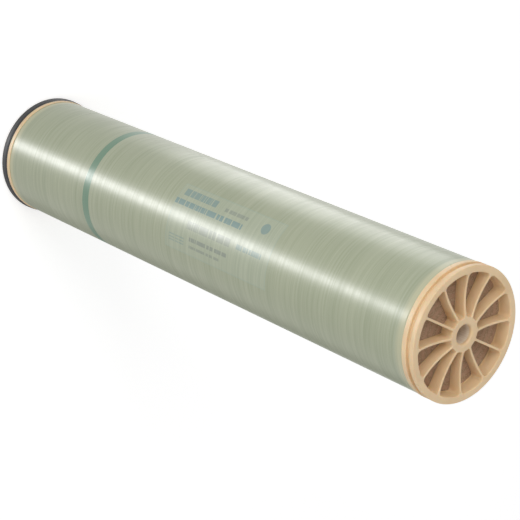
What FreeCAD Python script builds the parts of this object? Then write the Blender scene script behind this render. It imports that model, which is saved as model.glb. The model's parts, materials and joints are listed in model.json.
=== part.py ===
import FreeCAD, Part
import math
import os

# Spiral-wound reverse osmosis element, 8 inch class, standing on its feed end.
# Z is the element's axis: Z = 0 is the outer face of the feed end cap, and +Z runs to the outlet end cap.
# Lengths are in millimetres and angles in degrees.

# Overall
element_length = 1016.0
rim_d = 200.0

# Shell
shell_step = 0.8
shell_wall = 1.6

# Permeate tube
tube_bore_d = 28.6
tube_wall = 4.7
tube_hole_d = 4.0
tube_hole_rows = 2
tube_holes_per_row = 3
tube_hole_margin = 160.0

# End cap rims, listed from the outer face inwards
front_rim_height = 10.0
seal_groove_width = 7.0
seal_groove_depth = 4.6
rear_rim_height = 5.0
skirt_height = 12.0
skirt_wall = 1.8
rim_width = 11.0
rim_land_width = 2.0
rim_edge_chamfer = 2.4

# Vane wheel inside the rims
vane_count = 12
vane_thickness = 3.6
vane_rim_flare = 4.0
vane_hub_flare = 2.4
hub_wall = 6.5
hub_land_width = 1.5
hub_mouth_chamfer = 3.6
hub_recess = 1.4
dish_recess = 4.7
web_shelf_width = 10.0
web_recess = 2.6
tube_stop_height = 7.0

# Brine seal
seal_lip_reach = 3.0
seal_lip_thickness = 1.6
seal_heel_height = 2.6
seal_tip_height = 0.8

# Membrane roll
leaf_count = 6
ply_thickness = 5.8
facets_per_ply = 2

# Label sheet under the shell
label_length = 240.0
label_arc_width = 106.0
label_thickness = 0.2
label_centre_z = 590.0
label_centre_angle = 274.7

# Clearances
seat_clearance = 0.1
shell_clearance = 0.25
label_clearance = 0.4
ply_clearance = 0.1
roll_end_clearance = 0.3

# Radii and heights that follow from the sizes above
rim_r = rim_d / 2
groove_r = rim_r - seal_groove_depth
groove_z0 = front_rim_height
groove_z1 = groove_z0 + seal_groove_width
wheel_height = groove_z1 + rear_rim_height
cap_height = wheel_height + skirt_height
window_r = rim_r - rim_width
tube_bore_r = tube_bore_d / 2
tube_r = tube_bore_r + tube_wall
hub_r = tube_r + hub_wall
shell_r = rim_r - shell_step
shell_bore_r = shell_r - shell_wall
skirt_r = shell_bore_r - shell_clearance
skirt_bore_r = skirt_r - skirt_wall
roll_r = skirt_bore_r - seat_clearance
roll_z0 = wheel_height + roll_end_clearance
roll_length = element_length - 2 * roll_z0
label_r1 = shell_bore_r - label_clearance
label_r0 = label_r1 - label_thickness
leaf_pitch = 2 * leaf_count * ply_thickness
facets_per_turn = 2 * leaf_count * facets_per_ply


def vec(x, y, z):
    return FreeCAD.Vector(x, y, z)


def turned(edges):
    """Solid of revolution about Z from a closed chain of edges in the XZ plane."""
    return Part.Face(Part.Wire(edges)).revolve(vec(0, 0, 0), vec(0, 0, 1), 360)


def path(points):
    """Straight edges in the XZ plane through (radius, height) points."""
    return [
        Part.LineSegment(vec(r0, 0, z0), vec(r1, 0, z1)).toShape()
        for (r0, z0), (r1, z1) in zip(points, points[1:])
    ]


def ring(inner_r, outer_r, z0, z1):
    """Plain cylindrical ring between two heights."""
    return turned(path([(inner_r, z0), (outer_r, z0), (outer_r, z1), (inner_r, z1), (inner_r, z0)]))


def cap_blank():
    """End cap before its windows are cut, as one turning: hub, dished web, two rims, seal groove and skirt."""
    land_r1 = rim_r - rim_edge_chamfer
    land_r0 = land_r1 - rim_land_width
    hub_land_r = hub_r + hub_land_width
    web_r = window_r - web_shelf_width
    dish_r = (hub_land_r + web_r) / 2
    mouth_r = tube_bore_r + hub_mouth_chamfer
    mouth_z = hub_recess + hub_mouth_chamfer
    socket_r = tube_r + seat_clearance
    return turned(path([
        (tube_bore_r, mouth_z),
        (mouth_r, hub_recess),
        (hub_land_r, hub_recess),
        ((hub_land_r + dish_r) / 2, (hub_recess + dish_recess) / 2),
        (dish_r, dish_recess),
        ((dish_r + web_r) / 2, (dish_recess + web_recess) / 2),
        (web_r, web_recess),
        (window_r, web_recess),
        (land_r0, 0),
        (land_r1, 0),
        (rim_r, rim_edge_chamfer),
        (rim_r, groove_z0),
        (groove_r, groove_z0),
        (groove_r, groove_z1),
        (rim_r, groove_z1),
        (rim_r, wheel_height),
        (skirt_r, wheel_height),
        (skirt_r, cap_height),
        (skirt_bore_r, cap_height),
        (skirt_bore_r, wheel_height),
        (socket_r, wheel_height),
        (socket_r, tube_stop_height),
        (tube_bore_r, tube_stop_height),
        (tube_bore_r, mouth_z),
    ]))


def window():
    """Prism of the window between the vane on +X and the next one. Its cut corners flare the vane roots."""
    reach = 2 * window_r
    height = wheel_height + 2
    beside_first = Part.makeBox(reach, reach, height, vec(0, vane_thickness / 2, -1))
    beside_next = Part.makeBox(reach, reach, height, vec(0, -reach - vane_thickness / 2, -1))
    beside_next.rotate(vec(0, 0, 0), vec(0, 0, 1), 360 / vane_count)
    prism = ring(hub_r, window_r, -1, wheel_height + 1).common(beside_first).common(beside_next)
    for corner_r, flare in ((hub_r, vane_hub_flare), (window_r, vane_rim_flare)):
        corners = [
            edge for edge in prism.Edges
            if edge.BoundBox.ZLength > height / 2
            and abs(math.hypot(edge.CenterOfMass.x, edge.CenterOfMass.y) - corner_r) < 1e-3
        ]
        prism = prism.makeChamfer(flare, corners)
    return prism


def end_cap():
    """Anti-telescoping end cap with its outer face at Z = 0: straight radial vanes under a dished front."""
    opening = window()
    cap = cap_blank()
    for index in range(vane_count):
        turned_opening = opening.copy()
        turned_opening.rotate(vec(0, 0, 0), vec(0, 0, 1), index * 360 / vane_count)
        cap = cap.cut(turned_opening)
    return cap


def at_outlet(shape):
    """The same piece turned end for end onto the outlet end."""
    turned_over = shape.copy()
    turned_over.rotate(vec(0, 0, 0), vec(1, 0, 0), 180)
    turned_over.translate(vec(0, 0, element_length))
    return turned_over


def brine_seal():
    """Lip seal seated in the feed cap's groove, with its lip flared towards the feed end."""
    floor_r = groove_r + seat_clearance
    lip_r = rim_r + seal_lip_reach
    back_z = groove_z1 - seat_clearance
    heel_z = back_z - seal_heel_height
    tip_z = groove_z0 + seal_tip_height
    return turned(path([
        (floor_r, heel_z),
        (rim_r - seal_lip_thickness, heel_z),
        (lip_r - seal_lip_thickness, tip_z),
        (lip_r, tip_z),
        (rim_r, back_z),
        (floor_r, back_z),
        (floor_r, heel_z),
    ]))


def permeate_tube():
    """Central product water tube, seated in both hubs, with rows of collecting holes along the roll."""
    z0 = tube_stop_height + seat_clearance
    z1 = element_length - z0
    tube = ring(tube_bore_r, tube_r, z0, z1)
    hole_step = (element_length - 2 * tube_hole_margin) / (tube_holes_per_row - 1)
    drills = []
    for row in range(tube_hole_rows):
        angle = math.radians(row * 360 / tube_hole_rows)
        direction = vec(math.cos(angle), math.sin(angle), 0)
        for index in range(tube_holes_per_row):
            start = vec(0, 0, tube_hole_margin + index * hole_step)
            drills.append(Part.makeCylinder(tube_hole_d / 2, 2 * tube_r, start, direction))
    return tube.cut(drills)


def spiral(start_r, turns, start_angle):
    """Points along a spiral that climbs leaf_pitch in radius each turn, one at each facet corner and at its end."""
    steps = math.floor(turns * facets_per_turn)
    turned_by = [step / facets_per_turn for step in range(steps + 1)] + [turns]
    points = []
    for part_turn in turned_by:
        angle = math.radians(start_angle + 360 * part_turn)
        r = start_r + leaf_pitch * part_turn
        points.append(vec(r * math.cos(angle), r * math.sin(angle), roll_z0))
    return points


def wound_ply(start_angle):
    """One ply of the roll, wound from the permeate tube out to the roll's full radius, with square ends."""
    inner_r = tube_r + ply_clearance
    thickness = ply_thickness - ply_clearance
    turns = (roll_r - inner_r - thickness) / leaf_pitch
    inside = spiral(inner_r, turns, start_angle)
    outside = spiral(inner_r + thickness, turns, start_angle)
    outline = Part.makePolygon(inside + outside[::-1] + inside[:1])
    return Part.Face(outline).extrude(vec(0, 0, roll_length))


def membrane_roll():
    """Membrane leaves with a feed spacer between each two, all starting on the permeate tube."""
    plies = {}
    for index in range(leaf_count):
        leaf_angle = index * 360 / leaf_count
        plies[f"membrane_leaf_{index + 1}"] = wound_ply(leaf_angle)
        plies[f"feed_spacer_{index + 1}"] = wound_ply(leaf_angle + 180 / leaf_count)
    return plies


def roll_tape():
    """Tape sleeve round the roll, filling the shell's bore between the two cap skirts."""
    return ring(roll_r + shell_clearance, label_r0 - label_clearance,
                cap_height + seat_clearance, element_length - cap_height - seat_clearance)


def label_sheet():
    """Thin label between the roll tape and the shell."""
    arc = math.degrees(label_arc_width / label_r1)
    sheet = ring(label_r0, label_r1, label_centre_z - label_length / 2, label_centre_z + label_length / 2)
    wedge = Part.makeCylinder(2 * label_r1, element_length, vec(0, 0, 0), vec(0, 0, 1), arc)
    wedge.rotate(vec(0, 0, 0), vec(0, 0, 1), label_centre_angle - arc / 2)
    return sheet.common(wedge)


def shell():
    """Fibreglass shell wound over the roll and over both cap skirts."""
    z0 = wheel_height + seat_clearance
    return ring(shell_bore_r, shell_r, z0, element_length - z0)


def build():
    """Every node of the element, by name."""
    cap = end_cap()
    nodes = {
        "feed_end_cap": cap,
        "outlet_end_cap": at_outlet(cap),
        "brine_seal": brine_seal(),
        "permeate_tube": permeate_tube(),
        "roll_tape": roll_tape(),
        "label_sheet": label_sheet(),
        "fibreglass_shell": shell(),
    }
    nodes.update(membrane_roll())
    return nodes


os.makedirs("parts", exist_ok=True)
for name, shape in build().items():
    shape.exportStep(f"parts/{name}.step")
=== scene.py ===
"""Looks of the reverse osmosis element: end caps, wound shell, lip seal, permeate tube and membrane roll."""

import json

import bmesh
import bpy
import numpy as np
from mathutils import Matrix, Vector


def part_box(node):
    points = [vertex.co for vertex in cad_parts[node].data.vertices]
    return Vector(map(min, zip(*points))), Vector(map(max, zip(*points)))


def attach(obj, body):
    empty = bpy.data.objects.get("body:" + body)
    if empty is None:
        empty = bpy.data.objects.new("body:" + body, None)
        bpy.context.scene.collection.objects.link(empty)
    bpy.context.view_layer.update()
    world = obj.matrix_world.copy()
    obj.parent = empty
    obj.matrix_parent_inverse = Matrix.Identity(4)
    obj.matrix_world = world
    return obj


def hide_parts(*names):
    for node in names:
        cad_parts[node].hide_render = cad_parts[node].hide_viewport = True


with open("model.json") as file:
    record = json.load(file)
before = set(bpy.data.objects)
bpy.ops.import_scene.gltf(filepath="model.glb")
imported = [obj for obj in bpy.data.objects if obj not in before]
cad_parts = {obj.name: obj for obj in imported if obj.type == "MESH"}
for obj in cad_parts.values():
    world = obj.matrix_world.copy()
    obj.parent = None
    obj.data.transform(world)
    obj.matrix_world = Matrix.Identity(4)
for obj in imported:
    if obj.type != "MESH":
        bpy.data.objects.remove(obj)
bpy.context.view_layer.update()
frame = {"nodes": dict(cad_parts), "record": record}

MM = 0.001


# ---------------------------------------------------------------- sizes
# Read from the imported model: lengths in metres, heights from the feed end's outer face.
element_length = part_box("outlet_end_cap")[1][2]
rim_r = round(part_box("feed_end_cap")[1][0], 4)
cap_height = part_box("feed_end_cap")[1][2]
shell_r = round(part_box("fibreglass_shell")[1][0], 4)
shell_z0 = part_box("fibreglass_shell")[0][2]
shell_z1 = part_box("fibreglass_shell")[1][2]
tube_r = round(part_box("permeate_tube")[1][0], 4)
tube_z0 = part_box("permeate_tube")[0][2]
tube_z1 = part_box("permeate_tube")[1][2]
roll_z0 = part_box("membrane_leaf_1")[0][2]
roll_z1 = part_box("membrane_leaf_1")[1][2]
label_z0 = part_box("label_sheet")[0][2]
label_z1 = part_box("label_sheet")[1][2]
bore_r = frame["record"]["mounts"][0]["dims"]["r_mm"] * MM

# Sizes of the finished mouldings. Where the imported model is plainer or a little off, these are the ones shown.
shell_wall = 1.6 * MM
strand_pitch = 9.6 * MM
winding_ridge = 0.03 * MM
rim_width = 10.4 * MM
rim_land = 5.2 * MM
front_rim_height = 7.0 * MM
groove_width = 7.0 * MM
groove_depth = 4.6 * MM
rear_rim_height = 8.0 * MM
skirt_wall = 1.8 * MM
skirt_gap = 0.25 * MM
seat_gap = 0.1 * MM
hub_wall = 6.5 * MM
hub_land = 1.5 * MM
hub_border_r = 20 * MM
rim_border_r = 93 * MM
hub_front = 1.4 * MM
vane_tip_depth = 0.4 * MM
dish_depth = 3.8 * MM
vane_count = 12
vane_thickness = 3.6 * MM
edge_round = 1.1 * MM
rim_fillet = 5.0 * MM
hub_fillet = 3.0 * MM
rim_edge_round = 1.2 * MM
ledge_width = 1.0 * MM
ledge_height = 1.6 * MM
hole_margin = 160 * MM
hole_r = 2 * MM
holes_per_row = 3
leaf_count = 6
ply_step = 5.8 * MM
ply_gap = 0.1 * MM
end_rib = 0.7 * MM
band_z0 = 244 * MM
band_z1 = 260 * MM

window_r = rim_r - rim_width
hub_r = tube_r + hub_wall
wheel_height = front_rim_height + groove_width + rear_rim_height
skirt_r = shell_r - shell_wall - skirt_gap
skirt_bore_r = skirt_r - skirt_wall
socket_r = tube_r + seat_gap


# ---------------------------------------------------------------- mesh helpers
def grid(points, wrap_rows=False, wrap_columns=False):
    """Corner points and four-sided faces of a (rows, columns, 3) array of points."""
    rows, columns = points.shape[:2]
    index = np.arange(rows * columns).reshape(rows, columns)
    if wrap_rows:
        index = np.vstack([index, index[:1]])
    if wrap_columns:
        index = np.hstack([index, index[:, :1]])
    faces = np.stack([index[:-1, :-1], index[:-1, 1:], index[1:, 1:], index[1:, :-1]], axis=-1)
    return points.reshape(-1, 3), faces.reshape(-1, 4)


def piece(name, patches, replaced, sharp_angle=50):
    """One closed mesh from its patches, joined where their edges meet, with its faces turned outwards."""
    starts = np.cumsum([0] + [len(points) for points, faces in patches])
    points = np.concatenate([points for points, faces in patches])
    faces = np.concatenate([faces + start for (_, faces), start in zip(patches, starts)])
    mesh = bpy.data.meshes.new(name)
    mesh.from_pydata(points.tolist(), [], faces.tolist())
    shape = bmesh.new()
    shape.from_mesh(mesh)
    bmesh.ops.remove_doubles(shape, verts=shape.verts, dist=2e-6)
    bmesh.ops.recalc_face_normals(shape, faces=shape.faces)
    shape.to_mesh(mesh)
    shape.free()
    mesh.shade_smooth()
    mesh.set_sharp_from_angle(angle=np.radians(sharp_angle))
    built = bpy.data.objects.new(name, mesh)
    bpy.context.scene.collection.objects.link(built)
    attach(built, "root")
    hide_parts(*replaced)
    return built


def rounded_path(corners, steps=6):
    """Polyline through (radius, height, rounding) corners, with an arc tangent to both sides at each corner."""
    knots = np.array([corner[:2] for corner in corners])
    line = [knots[:1]]
    for before, here, after, (_, _, rounding) in zip(knots, knots[1:], knots[2:], corners[1:-1]):
        to_before = (before - here) / np.linalg.norm(before - here)
        to_after = (after - here) / np.linalg.norm(after - here)
        half = np.arccos(np.clip(to_before @ to_after, -1, 1)) / 2
        if rounding == 0 or half > 1.57:
            line.append(here[None])
            continue
        middle = (to_before + to_after) / np.linalg.norm(to_before + to_after)
        centre = here + middle * rounding / np.sin(half)
        start = here + to_before * rounding / np.tan(half) - centre
        end = here + to_after * rounding / np.tan(half) - centre
        share = np.linspace(0, 1, steps + 1)[:, None]
        sweep = np.pi - 2 * half
        arc = (np.sin((1 - share) * sweep) * start + np.sin(share * sweep) * end) / np.sin(sweep)
        line.append(centre + arc)
    line.append(knots[-1:])
    return np.concatenate(line)


def turned(profile, angles):
    """Surface of revolution: each (radius, height) point of the profile is carried round Z."""
    radius, height = profile[:, 0, None], profile[:, 1, None]
    return np.stack([radius * np.cos(angles), radius * np.sin(angles), height + 0 * angles], axis=-1)


def full_turn(count):
    """Evenly spaced angles once round, without the repeated last one."""
    return np.arange(count) * 2 * np.pi / count


# ---------------------------------------------------------------- end caps
def front_depth(radius):
    """Depth of the cap's front below its face: a parabola under the line from hub land to rim, then a rise."""
    hub_land_r = hub_r + hub_land
    share = np.clip((radius - hub_land_r) / (window_r - hub_land_r), 0, 1)
    dish = hub_front + (vane_tip_depth - hub_front) * share + dish_depth * 4 * share * (1 - share)
    rise = np.clip((radius - window_r) / (rim_width - rim_land), 0, 1)
    return dish * (1 - rise) ** 2


def polar(radius, angle):
    """Points in the plane from radius and angle."""
    return np.stack([radius * np.cos(angle), radius * np.sin(angle)], axis=-1)


def window_outline():
    """Loop round the window beside the vane on +X, and what goes with each of its points.

    Half of it is a hub arc, a fillet, a vane side, a fillet and a rim arc; the rest is that half mirrored.
    Returns the points, the directions into the material, a function giving the matching points of the
    sector's border for an inner and an outer radius, and how much of the ledge each point carries.
    """
    half_vane = vane_thickness / 2
    middle = np.pi / vane_count
    hub_centre_x = np.sqrt((hub_r + hub_fillet) ** 2 - (half_vane + hub_fillet) ** 2)
    rim_centre_x = np.sqrt((window_r - rim_fillet) ** 2 - (half_vane + rim_fillet) ** 2)
    hub_angle = np.arctan2(half_vane + hub_fillet, hub_centre_x)
    rim_angle = np.arctan2(half_vane + rim_fillet, rim_centre_x)

    hub_arc = np.linspace(middle, hub_angle, 9)[:-1]
    hub_turn = np.linspace(np.pi + hub_angle, 1.5 * np.pi, 9)
    side_x = np.linspace(hub_centre_x, rim_centre_x, 26)[1:-1]
    rim_turn = np.linspace(-0.5 * np.pi, rim_angle, 13)
    rim_arc = np.linspace(rim_angle, middle, 14)[1:]

    points = np.concatenate([
        polar(hub_r, hub_arc),
        np.array([hub_centre_x, half_vane + hub_fillet]) + polar(hub_fillet, hub_turn),
        np.stack([side_x, np.full_like(side_x, half_vane)], axis=-1),
        np.array([rim_centre_x, half_vane + rim_fillet]) + polar(rim_fillet, rim_turn),
        polar(window_r, rim_arc),
    ])
    normals = np.concatenate([
        -polar(1.0, hub_arc),
        polar(1.0, hub_turn),
        np.tile([0.0, -1.0], (len(side_x), 1)),
        polar(1.0, rim_turn),
        polar(1.0, rim_arc),
    ])

    def border(inner_r, outer_r):
        """Border of the sector, matched point for point with the loop."""
        share = np.linspace(0, 1, 5)
        rim_share = np.linspace(0, 1, 7)
        flat = np.concatenate([
            inner_r + (hub_centre_x - inner_r) * share[1:],
            side_x,
            rim_centre_x + (outer_r - rim_centre_x) * rim_share,
        ])
        return np.concatenate([
            polar(inner_r, hub_arc),
            polar(inner_r, hub_angle * (1 - share)),
            np.stack([flat, 0 * flat], axis=-1),
            polar(outer_r, rim_angle * rim_share[1:]),
            polar(outer_r, rim_arc),
        ])

    ledge = np.concatenate([
        np.zeros(len(hub_arc) + len(hub_turn) + len(side_x)),
        (1 - np.cos(np.linspace(0, np.pi, 13))) / 2,
        np.ones(len(rim_arc)),
    ])

    def mirrored(half):
        """Half loop joined with its mirror image about the middle of the window."""
        turn = 2 * middle
        other = np.stack([
            half[:, 0] * np.cos(turn) + half[:, 1] * np.sin(turn),
            half[:, 0] * np.sin(turn) - half[:, 1] * np.cos(turn),
        ], axis=-1)
        return np.concatenate([half, other[-2:0:-1]])

    return (
        mirrored(points),
        mirrored(normals),
        lambda inner_r, outer_r: mirrored(border(inner_r, outer_r)),
        np.concatenate([ledge, ledge[-2:0:-1]]),
    )


def end_cap_patches():
    """Patches of one cap with its outer face at height 0 and its skirt upwards."""
    points, normals, border, ledge = window_outline()
    front_border = border(hub_border_r, rim_border_r)
    back_border = border(socket_r, skirt_bore_r)

    def level(plan, depth):
        return np.concatenate([plan, np.broadcast_to(depth, plan.shape[:1])[:, None]], axis=-1)

    rows = []
    lip = points + normals * edge_round
    for share in np.linspace(0, 1, 4):
        plan = front_border + (lip - front_border) * share
        rows.append(level(plan, front_depth(np.hypot(*plan.T))))
    for turn in np.linspace(np.pi / 2, 0, 7)[1:]:
        plan = points + normals * edge_round * (1 - np.cos(turn))
        rows.append(level(plan, front_depth(np.hypot(*plan.T)) + edge_round * (1 - np.sin(turn))))
    ledge_z = wheel_height - ledge_height
    wall_top = rows[-1][:, 2]
    for share in (0.15, 0.5, 1.0):
        rows.append(level(points, wall_top + (ledge_z - wall_top) * share))
    inset = points - normals * ledge_width * ledge[:, None]
    rows.append(level(points + (inset - points) * 0.85, ledge_z))
    rows.append(level(inset, ledge_z + 0.3 * MM))
    rows.append(level(inset, wheel_height))
    for share in (0.5, 1.0):
        rows.append(level(inset + (back_border - inset) * share, wheel_height))
    sector = np.stack(rows)

    patches = []
    for turn in full_turn(vane_count):
        spin = np.array([[np.cos(turn), np.sin(turn), 0], [-np.sin(turn), np.cos(turn), 0], [0, 0, 1]])
        patches.append(grid(sector @ spin, wrap_columns=True))

    def angles_at(radius):
        """Angles of the border's points on an arc, all the way round."""
        reach = np.hypot(*back_border.T)
        angles = np.arctan2(back_border[:, 1], back_border[:, 0])[np.abs(reach - radius) < 1e-7]
        angles = np.unique(np.round(angles, 9))[:-1]
        return (angles + full_turn(vane_count)[:, None]).ravel()

    groove_r = rim_r - groove_depth
    groove_z1 = front_rim_height + groove_width
    dome_r = np.linspace(rim_border_r, rim_r - rim_land, 5)
    dome = np.stack([dome_r, front_depth(dome_r)], axis=-1)
    rim = rounded_path([
        (rim_r - rim_land, 0, 0),
        (rim_r, 0, rim_edge_round),
        (rim_r, front_rim_height, 0.7 * MM),
        (groove_r, front_rim_height, 0.5 * MM),
        (groove_r, groove_z1, 0.5 * MM),
        (rim_r, groove_z1, 0.7 * MM),
        (rim_r, wheel_height, 0.6 * MM),
        (skirt_r, wheel_height, 0.3 * MM),
        (skirt_r, cap_height, 0.3 * MM),
        (skirt_bore_r, cap_height, 0.3 * MM),
        (skirt_bore_r, wheel_height, 0),
    ])
    patches.append(grid(turned(np.concatenate([dome, rim[1:]]), angles_at(skirt_bore_r)), wrap_columns=True))
    hub = rounded_path([
        (hub_border_r, hub_front, 0),
        (bore_r, hub_front, 3.6 * MM),
        (bore_r, tube_z0 - seat_gap, 0),
        (socket_r, tube_z0 - seat_gap, 0),
        (socket_r, wheel_height, 0),
    ], steps=9)
    patches.append(grid(turned(hub, angles_at(socket_r)), wrap_columns=True))
    return patches


def end_cap(name, replaced, at_outlet):
    """One end cap; at the outlet it is turned over about X onto the far end."""
    patches = end_cap_patches()
    if at_outlet:
        patches = [
            (points * [1, -1, -1] + [0, 0, element_length], faces) for points, faces in patches
        ]
    return piece(name, patches, [replaced])


# ---------------------------------------------------------------- shell, seal, tube and roll
def wound_shell():
    """Fibreglass tube whose outside follows the winding, as two shallow helical swells crossing each other."""
    heights = np.linspace(shell_z0 + 0.4 * MM, shell_z1 - 0.4 * MM, 400)[:, None]
    angles = full_turn(192)[None]
    swell = 0.6 * np.cos(2 * np.pi * heights / strand_pitch + angles)
    swell = swell + 0.4 * np.cos(2 * np.pi * heights / (2.7 * strand_pitch) - angles)
    radius = shell_r - winding_ridge * (1 - swell) / 2
    outside = np.stack([radius * np.cos(angles), radius * np.sin(angles), heights + 0 * angles], axis=-1)
    inner_r = shell_r - shell_wall
    inside = turned(np.array([
        (shell_r - 0.4 * MM, shell_z1),
        (inner_r, shell_z1),
        (inner_r, shell_z0),
        (shell_r - 0.4 * MM, shell_z0),
    ]), angles[0])
    surface = grid(np.concatenate([outside, inside]), wrap_rows=True, wrap_columns=True)
    return piece("wound_shell", [surface], ["fibreglass_shell"])


def lip_seal():
    """Rubber ring with rounded edges: a heel in the groove and a thin lip drawn forward over the front rim."""
    floor_r = rim_r - groove_depth + seat_gap
    lip_wall = 1.0 * MM
    lip_r = rim_r + 1.8 * MM
    root_r = rim_r + 0.4 * MM
    tip_z = 2.0 * MM
    back_z = front_rim_height + groove_width - seat_gap
    heel_z = back_z - 3.4 * MM
    section = rounded_path([
        (floor_r, (heel_z + back_z) / 2, 0),
        (floor_r, heel_z, 0.4 * MM),
        (root_r, heel_z, 0.4 * MM),
        (lip_r - lip_wall, tip_z, 0.4 * MM),
        (lip_r, tip_z, 0.4 * MM),
        (root_r + lip_wall, heel_z, 1.5 * MM),
        (rim_r, back_z, 0.5 * MM),
        (floor_r, back_z, 0.4 * MM),
        (floor_r, (heel_z + back_z) / 2, 0),
    ])[:-1]
    surface = grid(turned(section, full_turn(240)), wrap_rows=True, wrap_columns=True)
    return piece("lip_seal", [surface], ["brine_seal"])


def permeate_tube():
    """Water tube with softened ends, and its rows of collecting holes drilled through."""
    section = rounded_path([
        (tube_r, (tube_z0 + tube_z1) / 2, 0),
        (tube_r, tube_z1, 0.5 * MM),
        (bore_r, tube_z1, 0.5 * MM),
        (bore_r, tube_z0, 0.5 * MM),
        (tube_r, tube_z0, 0.5 * MM),
        (tube_r, (tube_z0 + tube_z1) / 2, 0),
    ])[:-1]
    tube = piece("water_tube", [grid(turned(section, full_turn(120)), wrap_rows=True, wrap_columns=True)],
                 ["permeate_tube"])
    drill_shape = bmesh.new()
    for height in np.linspace(hole_margin, element_length - hole_margin, holes_per_row):
        place = Matrix.Translation((0, 0, height)) @ Matrix.Rotation(np.pi / 2, 4, "Y")
        bmesh.ops.create_cone(drill_shape, cap_ends=True, segments=32, radius1=hole_r, radius2=hole_r,
                              depth=4 * tube_r, matrix=place)
    drill_mesh = bpy.data.meshes.new("drills")
    drill_shape.to_mesh(drill_mesh)
    drill_shape.free()
    drills = bpy.data.objects.new("drills", drill_mesh)
    bpy.context.scene.collection.objects.link(drills)
    cut = tube.modifiers.new("holes", "BOOLEAN")
    cut.object = drills
    cut.solver = "EXACT"
    bpy.context.view_layer.update()
    drilled = bpy.data.meshes.new_from_object(tube.evaluated_get(bpy.context.evaluated_depsgraph_get()))
    tube.modifiers.clear()
    tube.data = drilled
    bpy.data.objects.remove(drills)
    return tube


def wound_ply(name, node, start_angle, layers):
    """One ply of the roll: its section carried along an evenly climbing spiral, its ends ribbed by layers."""
    outer_r = skirt_bore_r - seat_gap
    pitch = 2 * leaf_count * ply_step
    thickness = ply_step - ply_gap
    inner_r = tube_r + ply_gap
    turns = (outer_r - inner_r - thickness) / pitch
    along = np.linspace(0, turns, 150)
    across = np.linspace(0, 1, 4 * layers + 1)
    rib = end_rib * np.abs(np.sin(np.pi * layers * across)) ** 0.6
    low = np.stack([across, roll_z0 + end_rib - rib], axis=-1)
    high = np.stack([across, roll_z1 - end_rib + rib], axis=-1)[::-1]
    section = np.concatenate([low, high])
    radius = inner_r + pitch * along[:, None] + thickness * section[:, 0]
    angle = start_angle + 2 * np.pi * along[:, None]
    surface = np.stack([radius * np.cos(angle), radius * np.sin(angle), section[:, 1] + 0 * radius], axis=-1)
    side = grid(surface, wrap_columns=True)
    half = len(across)
    ends = [grid(np.stack([end[:half], end[:half - 1:-1]])) for end in (surface[0], surface[-1])]
    return piece(name, [side] + ends, [node], sharp_angle=70)


# ---------------------------------------------------------------- finishes
class Finish:
    """A material being put together: a Principled shader whose plain values are set on its own sockets."""

    def __init__(self, name, **values):
        self.material = bpy.data.materials.new(name)
        self.material.use_nodes = True
        self.tree = self.material.node_tree
        self.shader = self.tree.nodes["Principled BSDF"]
        for socket, value in values.items():
            self.shader.inputs[socket.replace("_", " ")].default_value = value
        place = self.tree.nodes.new("ShaderNodeTexCoord").outputs["Object"]
        self.place = place
        parts = self.tree.nodes.new("ShaderNodeSeparateXYZ")
        self.tree.links.new(place, parts.inputs[0])
        self.x, self.y, self.z = parts.outputs

    def feed(self, socket, value):
        """Links a node's output to a socket, or sets the socket to a plain value."""
        if isinstance(value, bpy.types.NodeSocket):
            self.tree.links.new(value, socket)
        else:
            socket.default_value = value

    def math(self, operation, *values):
        """One Math node."""
        node = self.tree.nodes.new("ShaderNodeMath")
        node.operation = operation
        for socket, value in zip(node.inputs, values):
            self.feed(socket, value)
        return node.outputs[0]

    def noise(self, stretch, detail=2.0, roughness=0.5):
        """Noise on the piece's own place, with cells to the metre along X, Y and Z."""
        scaled = self.tree.nodes.new("ShaderNodeVectorMath")
        scaled.operation = "MULTIPLY"
        self.feed(scaled.inputs[0], self.place)
        scaled.inputs[1].default_value = stretch
        node = self.tree.nodes.new("ShaderNodeTexNoise")
        node.inputs["Scale"].default_value = 1.0
        node.inputs["Detail"].default_value = detail
        node.inputs["Roughness"].default_value = roughness
        self.feed(node.inputs["Vector"], scaled.outputs[0])
        return node.outputs["Fac"]

    def ranged(self, value, low, high, to_low=0.0, to_high=1.0):
        """The value's range carried onto another, held at its ends."""
        node = self.tree.nodes.new("ShaderNodeMapRange")
        for socket, number in zip(node.inputs, (value, low, high, to_low, to_high)):
            self.feed(socket, number)
        return node.outputs[0]

    def mix(self, share, first, second):
        """Colour between two colours."""
        node = self.tree.nodes.new("ShaderNodeMix")
        node.data_type = "RGBA"
        self.feed(node.inputs[0], share)
        for socket, colour in ((node.inputs[6], first), (node.inputs[7], second)):
            self.feed(socket, colour if isinstance(colour, bpy.types.NodeSocket) else (*colour, 1.0))
        return node.outputs[2]

    def band(self, value, low, high):
        """1 where the value lies between two numbers, else 0."""
        return self.math("COMPARE", value, (low + high) / 2, (high - low) / 2)

    def bump(self, height, distance, strength=1.0, normal=None):
        """Bump of a height map, on top of another bump if one is given."""
        node = self.tree.nodes.new("ShaderNodeBump")
        node.inputs["Distance"].default_value = distance
        node.inputs["Strength"].default_value = strength
        self.feed(node.inputs["Height"], height)
        if normal:
            self.feed(node.inputs["Normal"], normal)
        return node.outputs[0]

    def finish(self, colour=None, roughness=None, normal=None):
        """Links what varies over the surface to the shader."""
        for name, value in (("Base Color", colour), ("Roughness", roughness), ("Normal", normal)):
            if value is not None:
                self.feed(self.shader.inputs[name], value)
        return self.material


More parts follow.
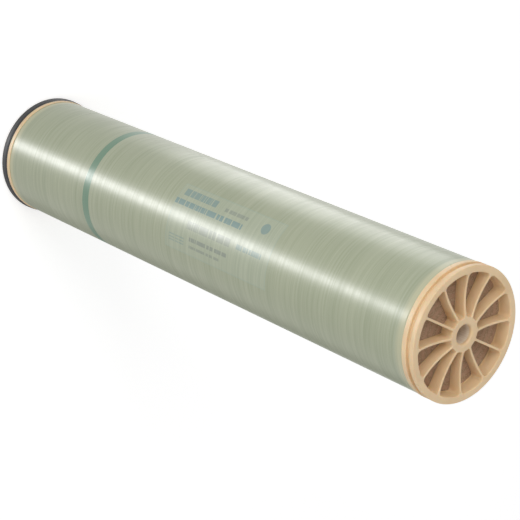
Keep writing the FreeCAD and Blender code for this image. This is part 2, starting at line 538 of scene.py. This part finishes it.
def moulded_plastic():
    """Cream ABS: faint cloudiness of the melt and a fine matt grain."""
    f = Finish("moulded_cream_plastic", Roughness=0.42, Subsurface_Weight=0.25, Subsurface_Scale=4 * MM,
               Subsurface_Radius=(1.0, 0.5, 0.25))
    cloud = f.noise((28, 28, 28), 3)
    grain = f.noise((1400, 1400, 1400), 2)
    colour = f.mix(f.ranged(cloud, 0.3, 0.7), (0.76, 0.55, 0.32), (0.84, 0.63, 0.385))
    rough = f.ranged(cloud, 0.3, 0.7, 0.38, 0.48)
    swell = f.bump(f.noise((90, 90, 90), 2), 0.25 * MM, 0.35)
    return f.finish(colour, rough, f.bump(grain, 0.03 * MM, 0.4, swell))


def wound_fibreglass():
    """Greenish glass strand in resin, with the green band, the cap skirts and the label showing through."""
    f = Finish("wound_fibreglass", IOR=1.5)
    fine = f.noise((14, 14, 1300), 2)
    strand = f.noise((7, 7, 330), 3)
    broad = f.noise((4, 4, 60), 2)
    streak = f.math("ADD", f.math("MULTIPLY", fine, 0.3), f.math("MULTIPLY", strand, 0.5))
    streak = f.math("ADD", streak, f.math("MULTIPLY", broad, 0.2))
    colour = f.mix(f.ranged(streak, 0.36, 0.64), (0.31, 0.345, 0.23), (0.41, 0.44, 0.312))

    ragged = f.math("MULTIPLY", f.math("SUBTRACT", strand, 0.5), 4 * MM)
    height = f.math("ADD", f.z, ragged)
    from_end = f.math("MINIMUM", f.math("SUBTRACT", height, shell_z0), f.math("SUBTRACT", shell_z1, height))
    over_skirt = f.ranged(from_end, 7 * MM, 14 * MM, 0.65, 0.0)
    colour = f.mix(over_skirt, colour, (0.56, 0.54, 0.36))
    green = f.math("MULTIPLY", f.band(height, band_z0, band_z1), 0.8)
    colour = f.mix(green, colour, (0.10, 0.23, 0.155))

    angle = f.math("MULTIPLY", f.math("ARCTAN2", f.y, f.x), 180 / np.pi)
    label_middle = -85.3
    label_half = 30.6
    on_label = f.math("MULTIPLY", f.band(f.z, label_z0, label_z1),
                      f.band(angle, label_middle - label_half, label_middle + label_half))
    inside = f.math("MULTIPLY", f.band(f.z, label_z0 + 1.5 * MM, label_z1 - 1.5 * MM),
                    f.band(angle, label_middle - label_half + 0.9, label_middle + label_half - 0.9))
    colour = f.mix(f.math("MULTIPLY", on_label, 0.16), colour, (0.52, 0.60, 0.52))
    edge = f.math("SUBTRACT", on_label, inside)
    colour = f.mix(f.math("MULTIPLY", edge, 0.18), colour, (0.16, 0.33, 0.32))
    dashes = f.math("GREATER_THAN", f.noise((0.01, 0.01, 210), 1), 0.44)
    slate = (0.17, 0.20, 0.19)
    teal = (0.09, 0.22, 0.26)
    for top, bottom, high_angle, low_angle, ink, strength, broken in (
        (602, 529, -61.6, -64.1, slate, 0.45, True),
        (618, 527, -67.8, -71.4, slate, 0.55, True),
        (516, 478, -62.0, -63.2, teal, 0.35, True),
        (516, 478, -64.6, -65.8, teal, 0.35, True),
        (516, 478, -67.4, -68.6, teal, 0.35, True),
        (620, 516, -77.6, -84.9, slate, 0.38, True),
        (692, 635, -78.7, -83.3, teal, 0.4, True),
        (630, 470, -95.3, -100.5, teal, 0.6, True),
        (633, 578, -104.7, -108.2, slate, 0.45, True),
        (558, 480, -104.7, -111.5, teal, 0.5, True),
    ):
        bar = f.math("MULTIPLY", f.band(f.z, bottom * MM, top * MM), f.band(angle, low_angle, high_angle))
        if broken:
            bar = f.math("MULTIPLY", bar, dashes)
        colour = f.mix(f.math("MULTIPLY", bar, strength), colour, ink)
    across = f.math("MULTIPLY", f.math("SUBTRACT", angle, -104.7), np.pi / 180 * shell_r)
    along = f.math("SUBTRACT", f.z, 676 * MM)
    squares = f.math("ADD", f.math("MULTIPLY", across, across), f.math("MULTIPLY", along, along))
    reach = f.math("SQRT", squares)
    dot = f.math("LESS_THAN", reach, 9 * MM)
    colour = f.mix(f.math("MULTIPLY", dot, 0.5), colour, teal)

    rough = f.ranged(streak, 0.36, 0.64, 0.36, 0.27)
    normal = f.bump(fine, 0.05 * MM, 0.5, f.bump(strand, 0.12 * MM, 0.5))
    return f.finish(colour, rough, normal)


def seal_rubber():
    """Black rubber with a faint bloom and fine moulding grain."""
    f = Finish("black_seal_rubber", Roughness=0.6)
    bloom = f.noise((40, 40, 200), 3)
    colour = f.mix(f.ranged(bloom, 0.35, 0.7), (0.012, 0.012, 0.013), (0.032, 0.032, 0.034))
    rough = f.ranged(bloom, 0.3, 0.7, 0.5, 0.68)
    return f.finish(colour, rough, f.bump(f.noise((900, 900, 900), 2), 0.04 * MM, 0.5))


def tube_plastic():
    """Pale extruded plastic: faint draw lines along the tube."""
    f = Finish("pale_tube_plastic", Roughness=0.4)
    drawn = f.noise((600, 600, 6), 2)
    colour = f.mix(f.ranged(drawn, 0.35, 0.65), (0.72, 0.59, 0.46), (0.82, 0.69, 0.55))
    return f.finish(colour, f.ranged(drawn, 0.3, 0.7, 0.34, 0.48), f.bump(drawn, 0.03 * MM, 0.5))


def membrane_sheet():
    """Pinkish-brown membrane edges, cut slightly unevenly."""
    f = Finish("membrane_sheet", Roughness=0.75)
    cut = f.noise((500, 500, 60), 3)
    colour = f.mix(f.ranged(cut, 0.3, 0.7), (0.44, 0.285, 0.19), (0.53, 0.36, 0.25))
    return f.finish(colour, f.ranged(cut, 0.3, 0.7, 0.65, 0.85), f.bump(cut, 0.2 * MM, 0.6))


def spacer_net():
    """Tan spacer netting: round strands seen end on, with painted shade darkening the hollows between them."""
    f = Finish("spacer_net", Roughness=0.6)
    strands = f.tree.nodes.new("ShaderNodeTexVoronoi")
    strands.inputs["Scale"].default_value = 520.0
    f.feed(strands.inputs["Vector"], f.place)
    knot = strands.outputs["Distance"]
    # Painted shade: the colour darkens from each strand's middle into the recessed hollows between strands.
    colour = f.mix(f.ranged(knot, 0.15, 0.6), (0.56, 0.41, 0.28), (0.38, 0.255, 0.165))
    return f.finish(colour, f.ranged(knot, 0.1, 0.6, 0.5, 0.75), f.bump(knot, -0.4 * MM, 0.6))


def clear_tape():
    """Glossy greenish tape with faint wrinkles along the wrap."""
    f = Finish("clear_wrap_tape", Roughness=0.3)
    wrinkle = f.noise((10, 10, 220), 3)
    colour = f.mix(f.ranged(wrinkle, 0.35, 0.65), (0.42, 0.47, 0.37), (0.50, 0.55, 0.45))
    return f.finish(colour, f.ranged(wrinkle, 0.3, 0.7, 0.25, 0.4), f.bump(wrinkle, 0.1 * MM, 0.4))


def label_paper():
    """Thin pale paper with its fibres showing."""
    f = Finish("label_paper", Roughness=0.8)
    fibre = f.noise((700, 700, 250), 4)
    colour = f.mix(f.ranged(fibre, 0.35, 0.65), (0.58, 0.64, 0.58), (0.66, 0.72, 0.66))
    return f.finish(colour, f.ranged(fibre, 0.3, 0.7, 0.72, 0.88), f.bump(fibre, 0.03 * MM, 0.5))


def wear(target, material):
    """Puts one material on a piece."""
    target.data.materials.clear()
    target.data.materials.append(material)


# ---------------------------------------------------------------- studio
def floor():
    """Pale floor disc: whitened for the camera, lit and shadowed like card, and clear from below."""
    mesh = bpy.data.meshes.new("floor")
    edge = turned(np.array([(12.0, 0.0)]), full_turn(96))[0]
    mesh.from_pydata(edge.tolist(), [], [list(range(96))])
    ground = bpy.data.objects.new("floor", mesh)
    bpy.context.scene.collection.objects.link(ground)
    material = bpy.data.materials.new("studio_floor")
    material.use_nodes = True
    tree = material.node_tree
    tree.nodes.clear()
    output = tree.nodes.new("ShaderNodeOutputMaterial")
    card = tree.nodes.new("ShaderNodeBsdfDiffuse")
    card.inputs["Color"].default_value = (0.8, 0.8, 0.8, 1)
    glow = tree.nodes.new("ShaderNodeEmission")
    rays = tree.nodes.new("ShaderNodeLightPath")
    whitening = tree.nodes.new("ShaderNodeMath")
    whitening.operation = "MULTIPLY"
    whitening.inputs[1].default_value = 0.5
    tree.links.new(rays.outputs["Is Camera Ray"], whitening.inputs[0])
    tree.links.new(whitening.outputs[0], glow.inputs["Strength"])
    lit = tree.nodes.new("ShaderNodeAddShader")
    tree.links.new(card.outputs[0], lit.inputs[0])
    tree.links.new(glow.outputs[0], lit.inputs[1])
    clear = tree.nodes.new("ShaderNodeBsdfTransparent")
    side = tree.nodes.new("ShaderNodeNewGeometry")
    both = tree.nodes.new("ShaderNodeMixShader")
    tree.links.new(side.outputs["Backfacing"], both.inputs[0])
    tree.links.new(lit.outputs[0], both.inputs[1])
    tree.links.new(clear.outputs[0], both.inputs[2])
    tree.links.new(both.outputs[0], output.inputs["Surface"])
    mesh.materials.append(material)
    ground.visible_shadow = False
    ground.visible_glossy = False
    return ground


def soft_sky(level):
    """Even white world: full white to the camera and in gloss, softer as light on the object."""
    world = bpy.data.worlds.new("studio")
    bpy.context.scene.world = world
    world.use_nodes = True
    tree = world.node_tree
    background = tree.nodes["Background"]
    background.inputs["Color"].default_value = (1, 1, 1, 1)
    rays = tree.nodes.new("ShaderNodeLightPath")
    seen = tree.nodes.new("ShaderNodeMath")
    seen.operation = "MAXIMUM"
    tree.links.new(rays.outputs["Is Camera Ray"], seen.inputs[0])
    tree.links.new(rays.outputs["Is Glossy Ray"], seen.inputs[1])
    seen_through = tree.nodes.new("ShaderNodeMath")
    seen_through.operation = "MAXIMUM"
    tree.links.new(seen.outputs[0], seen_through.inputs[0])
    tree.links.new(rays.outputs["Is Transmission Ray"], seen_through.inputs[1])
    strength = tree.nodes.new("ShaderNodeMapRange")
    strength.inputs["To Min"].default_value = level
    strength.inputs["To Max"].default_value = 1.0
    tree.links.new(seen_through.outputs[0], strength.inputs["Value"])
    tree.links.new(strength.outputs[0], background.inputs["Strength"])


def towards(azimuth, elevation):
    """Unit direction from the axis; azimuth from +X and elevation from the floor, in degrees."""
    azimuth, elevation = np.radians(azimuth), np.radians(elevation)
    level = np.cos(elevation)
    return Vector((level * np.cos(azimuth), level * np.sin(azimuth), np.sin(elevation)))


def soft_lamp(name, azimuth, elevation, distance, width, length, power, gloss_only=False, height=0.508):
    """Area lamp aimed at a height on the element's axis, with its length along the element."""
    lamp = bpy.data.lights.new(name, "AREA")
    lamp.shape = "RECTANGLE"
    lamp.size = width
    lamp.size_y = length
    lamp.energy = power
    light = bpy.data.objects.new(name, lamp)
    bpy.context.scene.collection.objects.link(light)
    outwards = towards(azimuth, elevation)
    light.location = Vector((0, 0, height)) + distance * outwards
    light.rotation_euler = outwards.to_track_quat("Z", "Y").to_euler()
    light.visible_camera = False
    light.visible_diffuse = not gloss_only
    return light


def grey_flag(azimuth, elevation, distance, width, length):
    """Grey card seen only in the element's gloss, to darken the side turned away from the lamps."""
    outwards = towards(azimuth, elevation)
    mesh = bpy.data.meshes.new("grey_flag")
    corners = [(x * width / 2, y * length / 2, 0) for x, y in ((-1, -1), (1, -1), (1, 1), (-1, 1))]
    mesh.from_pydata(corners, [], [(0, 1, 2, 3)])
    flag = bpy.data.objects.new("grey_flag", mesh)
    bpy.context.scene.collection.objects.link(flag)
    turn = outwards.to_track_quat("Z", "Y").to_matrix().to_4x4()
    flag.matrix_world = Matrix.Translation(Vector((0, 0, element_length / 2)) + distance * outwards) @ turn
    material = bpy.data.materials.new("grey_flag")
    material.use_nodes = True
    tree = material.node_tree
    tree.nodes.clear()
    glow = tree.nodes.new("ShaderNodeEmission")
    glow.inputs["Color"].default_value = (0.3, 0.3, 0.3, 1)
    output = tree.nodes.new("ShaderNodeOutputMaterial")
    tree.links.new(glow.outputs[0], output.inputs["Surface"])
    mesh.materials.append(material)
    flag.visible_camera = False
    flag.visible_diffuse = False
    flag.visible_shadow = False
    flag.visible_transmission = False
    return flag


def camera():
    """Long-lens camera over the outlet end, rolled so that the element lies slantwise in the frame."""
    right = Vector((-0.40031, 0.65557, 0.64029))
    up = Vector((-0.91635, -0.28050, -0.28571))
    back = Vector((-0.00771, -0.70110, 0.71302))
    view = bpy.data.cameras.new("camera")
    view.sensor_width = 36.0
    view.lens = 119.7
    seer = bpy.data.objects.new("camera", view)
    bpy.context.scene.collection.objects.link(seer)
    turn = Matrix((right, up, back)).transposed()
    seer.matrix_world = Matrix.Translation((0, -1.8567, 2.4813)) @ turn.to_4x4()
    bpy.context.scene.camera = seer


# ---------------------------------------------------------------- the element
cream = moulded_plastic()
wear(end_cap("feed_cap", "feed_end_cap", at_outlet=False), cream)
wear(end_cap("outlet_cap", "outlet_end_cap", at_outlet=True), cream)
wear(wound_shell(), wound_fibreglass())
wear(lip_seal(), seal_rubber())
wear(permeate_tube(), tube_plastic())
membrane = membrane_sheet()
netting = spacer_net()
for index in range(leaf_count):
    leaf_angle = 2 * np.pi * index / leaf_count
    number = index + 1
    wear(wound_ply(f"leaf_{number}", f"membrane_leaf_{number}", leaf_angle, 4), membrane)
    net_angle = leaf_angle + np.pi / leaf_count
    wear(wound_ply(f"net_{number}", f"feed_spacer_{number}", net_angle, 3), netting)
wear(frame["nodes"]["roll_tape"], clear_tape())
wear(frame["nodes"]["label_sheet"], label_paper())

floor()
soft_sky(0.55)
soft_lamp("front_softbox", 235, 35, 3.0, 1.6, 1.6, 25)
soft_lamp("side_softbox", 300, 20, 3.5, 1.2, 1.6, 20)
soft_lamp("gloss_strip", 278.7, -45.5, 4.0, 0.6, 2.2, 84, gloss_only=True, height=0.55)
soft_lamp("gloss_panel", 164.6, -45.5, 1.6, 0.9, 0.7, 5, gloss_only=True, height=0.85)
grey_flag(50, -45.5, 4.0, 2.0, 4.0)
camera()

bpy.context.scene.view_settings.view_transform = "Standard"
